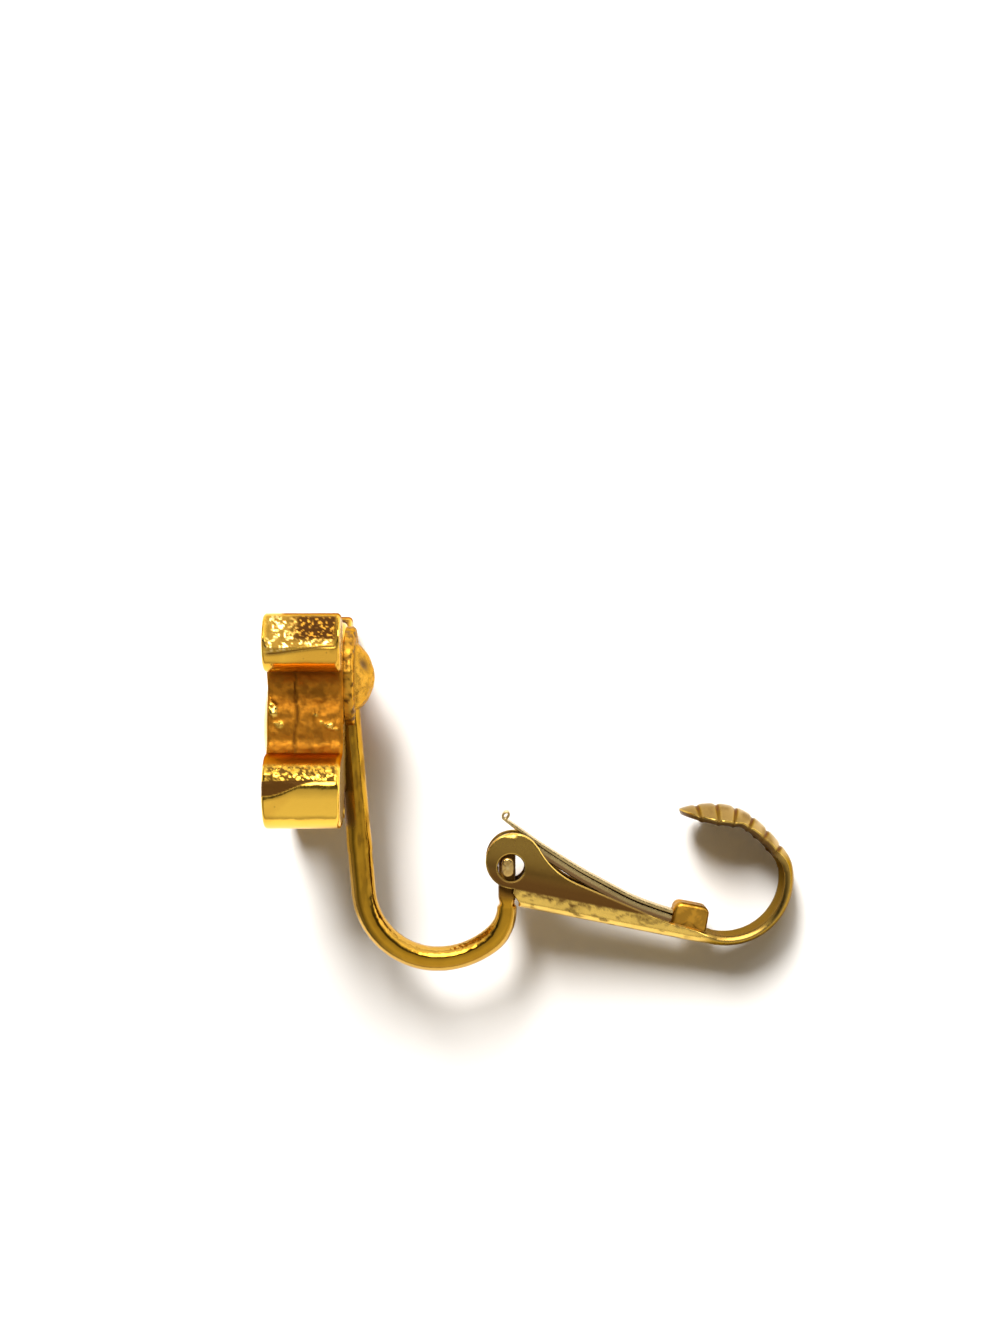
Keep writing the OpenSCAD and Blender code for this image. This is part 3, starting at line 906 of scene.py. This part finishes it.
# Clip lever: one pressed blank, folded into a channel with two ears and curled into a hook with a ridged
# paddle. On the flat blank, along is the way from the hinge and out the way across from its middle line.
# The ear, the sweep behind it and the hole are each a centre and a radius. A bend of the curl is its radius
# and the angle that it ends at.
lever = {
    "slope": 11.2,
    "thick": 0.42,
    "half": 1.65,
    "drop": 2.28,
    "bend": 1.1,
    "ear": ((0.27, 0.43), 1.68),
    "sweep": ((5.2, 4.37), 4.6),
    "sweepEnd": 258.2,
    "hole": ((0.204, 0.0), 0.81),
    "webStart": 1.08,
    "wallStart": 0.62,
    "wallLow": -1.5,
    "rail": [(4.27, -0.14), (10.2, -1.42), (12.6, -1.62)],
    "channelEnd": 11.7,
    "curlStart": 13.07,
    "crown": 3.9,
    "curlHalf": 1.65,
    "curl": [(4.12, 368), (2.20, 393), (9.00, 412), (3.90, 445), (6.00, 471)],
    "paddle": (12.85, 2.5),
    "shoulder": 62,
    "rootX": 17.2,
    "edge": 0.11,
    "grain": 0.105,
    "grooves": {"first": 1.1, "pitch": 1.2, "count": 6, "width": 0.145, "depth": 0.12},
}
wallAt = lever["half"] - lever["bend"] + lever["bend"] * math.pi / 2  # out at the foot of the upright walls
wallFoot = -lever["drop"] + lever["bend"]
leverTurn = np.array([unitAt(-lever["slope"]), unitAt(90 - lever["slope"])])  # along and up, when upright


def curlBends():
    # radius, start and end angle, and middle of each bend, and where along the blank it starts
    start, along = 270 - lever["slope"], lever["curlStart"]
    centre = np.array([lever["curlStart"], lever["curl"][0][0] - lever["drop"]]) @ leverTurn
    bends = []
    for k, (radius, end) in enumerate(lever["curl"]):
        if k:
            centre = centre + (lever["curl"][k - 1][0] - radius) * unitAt(start)
        bends.append((radius, start, end, centre, along))
        along += radius * math.radians(end - start)
        start = end
    return bends, along


bends, blankEnd = curlBends()


def foldChannel(along, out, depth):
    side, out = math.copysign(1, out), abs(out)
    flat, bend = lever["half"] - lever["bend"], lever["bend"]
    if out <= flat:
        y, z = -lever["drop"] + depth, out
    elif out <= wallAt:
        turn = (out - flat) / bend
        y, z = wallFoot - (bend - depth) * math.cos(turn), flat + (bend - depth) * math.sin(turn)
    else:
        y, z = wallFoot + out - wallAt, lever["half"] - depth
    x, y = np.array([along, y]) @ leverTurn
    return x, y, side * z


def foldCurl(along, out, depth):
    crown = lever["crown"] - depth
    turn = out / lever["crown"]
    if along < lever["curlStart"]:
        x, y = np.array([along, -lever["drop"] + lever["crown"] - crown * math.cos(turn)]) @ leverTurn
        return x, y, crown * math.sin(turn)
    radius, start, _, centre, first = [b for b in bends if b[4] <= along + 1e-9][-1]
    angle = start + math.degrees((along - first) / radius)
    reach = radius - lever["crown"] + crown * math.cos(turn)
    x, y = centre + reach * unitAt(angle)
    return x, y, crown * math.sin(turn)


def foldBlank(along, out, depth):
    low, high = lever["channelEnd"], lever["curlStart"] + 0.1
    if along <= low:
        return foldChannel(along, out, depth)
    if along >= high:
        return foldCurl(along, out, depth)
    share = float(smooth(low, high, along))
    a, b = foldChannel(along, out, depth), foldCurl(along, out, depth)
    return tuple(p + (q - p) * share for p, q in zip(a, b))


def outAt(y):
    # distance across the blank that ends up at height y of the channel
    if y >= wallFoot:
        return wallAt + y - wallFoot
    turn = math.acos(min(1.0, (wallFoot - y) / lever["bend"]))
    return lever["half"] - lever["bend"] + lever["bend"] * turn


def alongAt(x, z):
    # place along the paddle whose point at z across lies at x in the upright plane
    out = lever["crown"] * math.asin(z / lever["crown"])
    low, high = bends[1][4], blankEnd
    for _ in range(32):
        middle = (low + high) / 2
        low, high = (middle, high) if foldCurl(middle, out, 0)[0] > x else (low, middle)
    return low, out


def halfBlank():
    # half of the blank's outline, from the middle of the web's end round the ear to the tip of the paddle
    g = lever["grain"]
    (earX, earY), earR = lever["ear"]
    (sweepX, sweepY), sweepR = lever["sweep"]
    webStart, wallStart = lever["webStart"], lever["wallStart"]
    start = [(webStart, 0.0), (webStart, outAt(0.25 - lever["drop"])), (wallStart, outAt(lever["wallLow"]))]
    underEar = earY - math.sqrt(earR ** 2 - (wallStart - earX) ** 2)
    discStart = angleTo((earX, earY), (wallStart, underEar)) + 360
    toSweep = angleTo((earX, earY), (sweepX, sweepY))
    path = []
    for a, b in zip(start, start[1:] + [(wallStart, outAt(underEar))]):
        path += linePoints(a, b, g)
    path += [(x, outAt(y)) for x, y in arcPoints((earX, earY), earR, discStart, toSweep, g)]
    sweep = arcPoints((sweepX, sweepY), sweepR, toSweep + 180, lever["sweepEnd"], g)
    path += [(x, outAt(y)) for x, y in sweep]
    for a, b in zip(lever["rail"], lever["rail"][1:]):
        path += [(x, outAt(y)) for x, y in linePoints(a, b, g)]
    railX, railY = lever["rail"][-1]
    curlOut = lever["crown"] * math.asin(lever["curlHalf"] / lever["crown"])
    rootAlong = alongAt(lever["rootX"], lever["curlHalf"])[0]
    path += linePoints((railX, outAt(railY)), (lever["curlStart"], curlOut), g)
    path += linePoints((lever["curlStart"], curlOut), (rootAlong, curlOut), g)
    middle, radius = lever["paddle"]
    shoulder = lever["shoulder"]
    edgeX, edgeZ = np.array((middle, 0)) + radius * unitAt(shoulder)
    outline = linePoints((lever["rootX"], lever["curlHalf"]), (edgeX, edgeZ), g)
    outline += arcPoints((middle, 0), radius, shoulder, 180, g)
    path += [alongAt(x, z) for x, z in outline]
    return path + [(alongAt(middle - radius, 0.0)[0], 0.0)]


def grooveDepth(along):
    g = lever["grooves"]
    back = blankTip - along - g["first"]
    k = round(back / g["pitch"])
    if not 0 <= k < g["count"]:
        return 0.0
    away = (back - k * g["pitch"]) / g["width"]
    return g["depth"] * math.exp(-away ** 2)


def glintAt(along, out):
    # the shallow hollow at the top of each ear; the deep colour is lifted there as a painted highlight
    return math.exp(-((along + 0.40) / 0.55) ** 4) * smooth(outAt(1.70), outAt(2.12), abs(out))


def leverPress(along, out, outside):
    # how far the grooves of the paddle and the hollows of the ears lie under the blank's surface
    press = 0.16 * glintAt(along, out)
    if along > bends[1][4]:
        press += grooveDepth(along) * (1.0 if outside else 0.8)
    return press


def leverMasks(along, out, depth, press, onEdge):
    outside = depth < lever["thick"] / 2
    across = abs(out)
    channel = smooth(12.4, 10.6, along)
    wall = smooth(wallAt - 0.06, wallAt + 0.04, across) * channel
    curl = smooth(12.8, 14.5, along)
    blade = smooth(bends[2][4] - 0.5, bends[2][4] + 1.0, along)
    groove = 0.95 * min(1.0, 1.5 * press / lever["grooves"]["depth"]) * (along > bends[1][4])
    (holeX, holeY), holeR = lever["hole"]
    fromHole = math.hypot(along - holeX, across - outAt(holeY)) - holeR
    ragged = across - wallAt + 0.12 + 0.3 * fineNoise((along, out, 1.0), 1.7)
    pits = smooth(-0.25, 0.1, fineNoise((along, out, 4.0), 3.0, 2))
    smudge = smooth(-0.35, 0.6, fineNoise((along, out * 0.6, 7.0), 1.0, 2)) * smooth(0.3, 1.4, across)
    stain = smooth(0.12, 0.42, fineNoise((along * 0.8, out * 1.6, 3.0), 1.5, 2))
    dirt = max(
        # painted shade: the ear walls darken towards their foot at the bend
        0.9 * wall * math.exp(-((across - wallAt) / 0.75) ** 2),
        0.85 * wall * smooth(wallAt + 1.7, wallAt + 0.4, across),
        0.95 * channel * math.exp(-(ragged / 0.18) ** 2) * pits,
        0.35 * smooth(blankTip - 5.0, blankTip - 1.5, along),
        # a dark ring round each hinge hole: painted shade on the hole's wall
        0.3 * math.exp(-(fromHole / 0.10) ** 2),
        # painted shade on the inner face of the channel and the curl
        0.0 if outside else 0.55 - 0.1 * curl,
        (0.85 * blade + 0.15 * curl * (1 - blade)) * (onEdge and depth > 0.09),
        0.5 * groove,
        0.6 * blade * smudge,
        0.6 * channel * (1 - wall) * stain,
    )
    # painted shade: the ear walls take the deep colour, most near their foot
    shaded = wall * (0.85 + 0.15 * smooth(2.5, 1.0, across - wallAt)) * (not (onEdge and outside))
    deep = max(
        groove,
        # the deep colour is lifted on each ear's top hollow as a painted highlight
        shaded * (1 - min(1.0, 1.5 * glintAt(along, out))),
        0.75 * smooth(11.6, 13.2, along) * (1 - blade),
    )
    pale = 0.85 * blade * (1 - groove) * (not (onEdge and depth < 0.09))
    return {"dirt": min(1.0, dirt), "polish": 0.3 + 0.5 * curl, "deep": deep, "pale": pale}


def blankLoops():
    # the whole outline of the blank, and its two hinge holes
    half = halfBlank()
    loop = np.array([(a, o) for a, o in half] + [(a, -o) for a, o in half[-2:0:-1]])
    area = (loop[:, 0] * np.roll(loop[:, 1], -1) - np.roll(loop[:, 0], -1) * loop[:, 1]).sum()
    if area < 0:
        loop = loop[::-1]
    (holeX, holeY), holeR = lever["hole"]
    centres = [(holeX, side * outAt(holeY)) for side in (1, -1)]
    return [loop] + [np.array(arcPoints(centre, holeR, 360, 0, 0.075)) for centre in centres]


def blankGrid(loop, inner):
    # inner points of the blank, closer together along the paddle
    low, high = loop.min(0), loop.max(0)
    along, reach = low[0], math.ceil(high[1] / lever["grain"])
    grid = []
    while along < high[0]:
        along += lever["grain"] * (0.75 if along > bends[2][4] else 1.0)
        grid += [(along, k * lever["grain"]) for k in range(-reach, reach + 1)]
    grid = np.array(grid)
    grid = grid[insideLoop(grid, inner[0]) & ~insideLoop(grid, inner[1]) & ~insideLoop(grid, inner[2])]
    return grid[nearest(grid, np.concatenate(inner)) > 0.07]


def buildLever():
    loops = blankLoops()
    outs = [loopNormals(loop) for loop in loops]
    edge, thick = lever["edge"], lever["thick"]
    inner = [loop - out * edge for loop, out in zip(loops, outs)]
    flat, tris = fillOutline(inner, blankGrid(loops[0], inner))
    skin = Skin()

    def addPoint(along, out, depth, onEdge=False):
        outside = depth < thick / 2
        press = leverPress(along, out, outside)
        spot = (along, out, depth)
        rough = 0.005 * abs(fineNoise(spot, 0.9)) + 0.003 * abs(fineNoise(spot, 4.0))
        folded = foldBlank(along, out, depth + press + (rough if outside else -rough))
        skin.add(folded, **leverMasks(along, out, depth, press, onEdge))

    count = len(flat)
    for depth in (0.0, thick):
        for a, o in flat:
            addPoint(a, o, depth)
    faces = [tuple(t) for t in tris] + [tuple(count + v for v in reversed(t)) for t in tris]
    # rounded edges, from the outside round to the inside
    start = 0
    for base, normal in zip(inner, outs):
        size = len(base)
        rings = [range(start, start + size)]
        for turn in np.radians((30, 60, 90, 90, 120, 150)):
            drop = edge * (1 - abs(math.cos(turn)))
            depth = drop if len(rings) < 4 else thick - drop
            rings.append(range(len(skin.points), len(skin.points) + size))
            for a, o in base + normal * edge * math.sin(turn):
                addPoint(a, o, depth, True)
        rings.append(range(count + start, count + start + size))
        for r, t in zip(rings, rings[1:]):
            faces += [(r[i], r[(i + 1) % size], t[(i + 1) % size], t[i]) for i in range(size)]
        start += size
    return addPiece("leverStrip", skin, faces, "lever", "clip_lever", agedBrass, 50)


blankTip = alongAt(lever["paddle"][0] - lever["paddle"][1], 0.0)[0]
buildLever()

# Spring tab: a flap of the strip folded over the tail of the spring, with a seam along its top
tab = {
    "from": 10.3,
    "to": 12.45,
    "top": -0.06,
    "foot": -2.05,
    "half": 1.1,
    "round": 0.48,
    "sideRound": 0.26,
    "seam": 0.07,
    "seamWidth": 0.07,
    "deep": 0.55,
}


def tabOutline():
    r = tab["round"]
    left, right, high = tab["from"] + r, tab["to"] - r, tab["top"] - r
    heights = np.linspace(tab["foot"] + 0.12, high - 0.1, 14)
    outline = [(tab["to"], y) for y in (tab["foot"], *heights)]
    outline += [np.array((right, high)) + r * unitAt(turn) for turn in np.linspace(0, 90, 9)]
    outline += [(x, tab["top"]) for x in np.linspace(right, left, 15)[1:-1]]
    outline += [np.array((left, high)) + r * unitAt(turn) for turn in np.linspace(90, 180, 9)]
    outline += [(tab["from"], y) for y in (*heights[::-1], tab["foot"])]
    return np.array([tuple(p) for p in outline])


def buildTab():
    outline = tabOutline()
    out = loopNormals(outline)
    middle = np.array([(tab["from"] + tab["to"]) / 2, (tab["top"] + tab["foot"]) / 2])
    half, sideRound = tab["half"], tab["sideRound"]
    # each row is how far it is drawn in, its place across, and how much of its way from the middle is left
    rows = [(sideRound, half, keep) for keep in (0.1, 0.25, 0.4, 0.55, 0.7, 0.85)]
    rows += [(inset, half - drop, 1.0) for drop, inset in quarterRound(sideRound)]
    mirrored = [(inset, -z, keep) for inset, z, keep in reversed(rows)]
    rows += [(0.0, z, 1.0) for z in np.linspace(half - sideRound, sideRound - half, 22)[1:-1]] + mirrored
    skin = Skin()
    for inset, z, keep in rows:
        seam = math.exp(-(z / tab["seamWidth"]) ** 2)
        for corner, normal in zip(outline, out):
            onTop = seam * smooth(0.5, 0.9, normal[1])
            wear = 0.015 * abs(fineNoise((*corner, z), 3.0))
            p = middle + (corner - normal * (inset + wear + tab["seam"] * onTop) - middle) * keep
            mottle = 0.4 * smooth(-0.2, 0.4, fineNoise((*p, z), 2.2, 3))
            foot = 0.3 * smooth(tab["foot"] + 0.9, tab["foot"] + 0.3, p[1])
            skin.add((*(p @ leverTurn), z), dirt=mottle + 0.25 * onTop + foot, polish=0.4, deep=tab["deep"])
    size = len(outline)
    last = (len(rows) - 1) * size
    faces = ringFaces(len(rows), size)
    faces += [tuple(range(size)), tuple(reversed(range(last, last + size)))]
    return addPiece("springTab", skin, faces, "lever", "clip_lever", castGold, 35)


buildTab()

# Leaf spring: a thin strip between the ears with a rolled tip, its tail gripped under the tab
spring = {
    "thick": 0.25,
    "half": 0.8,
    "route": [(1.57, 1.66), (4.37, 0.60), (7.86, -0.47), (10.2, -0.80), (12.3, -0.8)],
    "tip": (-0.80, 2.74),
    "second": ((1.0, 1.92), (10.3, -0.80)),
    "secondThick": 0.56,
    "drop": 0.40,
    "roll": 0.19,
    "rollTurn": 325,
    "rollShape": (0.85, 1.2),
    "rollThick": 0.15,
    "cornerReach": 0.9,
    "step": 0.1,
}


def easedRoute(stops):
    # straight runs between the stops with eased corners
    path = []
    reach = spring["cornerReach"]
    for k in range(len(stops) - 1):
        a, b = stops[k], stops[k + 1]
        run = (b - a) / np.linalg.norm(b - a)
        begin = a + run * (reach if k else 0)
        end = b - run * (reach if k < len(stops) - 2 else 0)
        path += linePoints(tuple(begin), tuple(end), spring["step"])
        if k < len(stops) - 2:
            after = (stops[k + 2] - b) / np.linalg.norm(stops[k + 2] - b)
            start, finish = b - run * reach, b + after * reach
            for t in np.linspace(0, 1, 12)[:-1]:
                path.append(tuple((1 - t) ** 2 * start + 2 * t * (1 - t) * b + t ** 2 * finish))
    return path + [tuple(stops[-1])]


def springPath():
    # from the end of the long narrow roll, round it, down the strip and under the tab
    tip = np.array(spring["tip"])
    stops = [tip] + [np.array(p) for p in spring["route"]]
    way = angleTo(stops[0], stops[1])
    middle = tip + spring["roll"] * unitAt(way + 90)
    end = way - 90
    roll = np.array(arcPoints(tuple(middle), spring["roll"], end - spring["rollTurn"], end, 0.04))
    along, across = unitAt(way), unitAt(way + 90)
    away = (roll - tip) @ np.array([along, across]).T
    away *= spring["rollShape"]
    roll = tip + np.outer(away[:, 0], along) + np.outer(away[:, 1], across)
    return np.array([tuple(p) for p in roll] + easedRoute(stops)), len(roll)


def addLeaf(skin, faces, path, half, thickness, dirtAndShadeAt):
    # flat strip along a path in the lever's frame; the mask function for dirt and painted shade is given 1
    # on its upper side and -1 below
    way = np.gradient(path, axis=0)
    way /= np.linalg.norm(way, axis=1, keepdims=True)
    size, first = 24, len(skin.points)
    for p, (wayX, wayY), thick in zip(path, way, thickness):
        side = np.array([-wayY, wayX])
        for i in range(size):
            c, s = unitAt(360 * (i + 0.5) / size)
            grow = (abs(c) ** 7 + abs(s) ** 7) ** (-1 / 7)
            x, y = (p + side * thick / 2 * c * grow) @ leverTurn
            skin.add((x, y, half * s * grow), dirt=dirtAndShadeAt(c), polish=0.2)
    faces += [tuple(first + v for v in face) for face in ringFaces(len(path), size)]
    faces += [tuple(range(first, first + size)), tuple(range(len(skin.points) - size, len(skin.points)))]


def buildSpring():
    skin, faces = Skin(), []
    path, rollEnd = springPath()
    thin, thick, half = spring["rollThick"], spring["thick"], spring["half"]
    steps = np.arange(len(path))
    thickness = thin + (thick - thin) * smooth(rollEnd - 4, rollEnd + 12, steps)
    addLeaf(skin, faces, path, half, thickness, lambda c: 0.1)
    # the second leaf lies close under the first, and its lower side is painted dark as the shade in the gap
    begin, end = spring["second"]
    stops = [np.array(p) for p in (begin, spring["route"][1], spring["route"][2], end)]
    under = np.array(easedRoute(stops)) - (0, spring["drop"])
    steps = np.arange(len(under))
    ends = smooth(-1, 4, steps) * smooth(len(under) + 3, len(under) - 3, steps)
    thickness = spring["secondThick"] * (0.3 + 0.7 * ends)
    addLeaf(skin, faces, under, half - 0.05, thickness, lambda c: 0.15 if c > 0.0 else 0.95)
    return addPiece("leafSpring", skin, faces, "lever", "leaf_spring", springBrass, 40)


buildSpring()
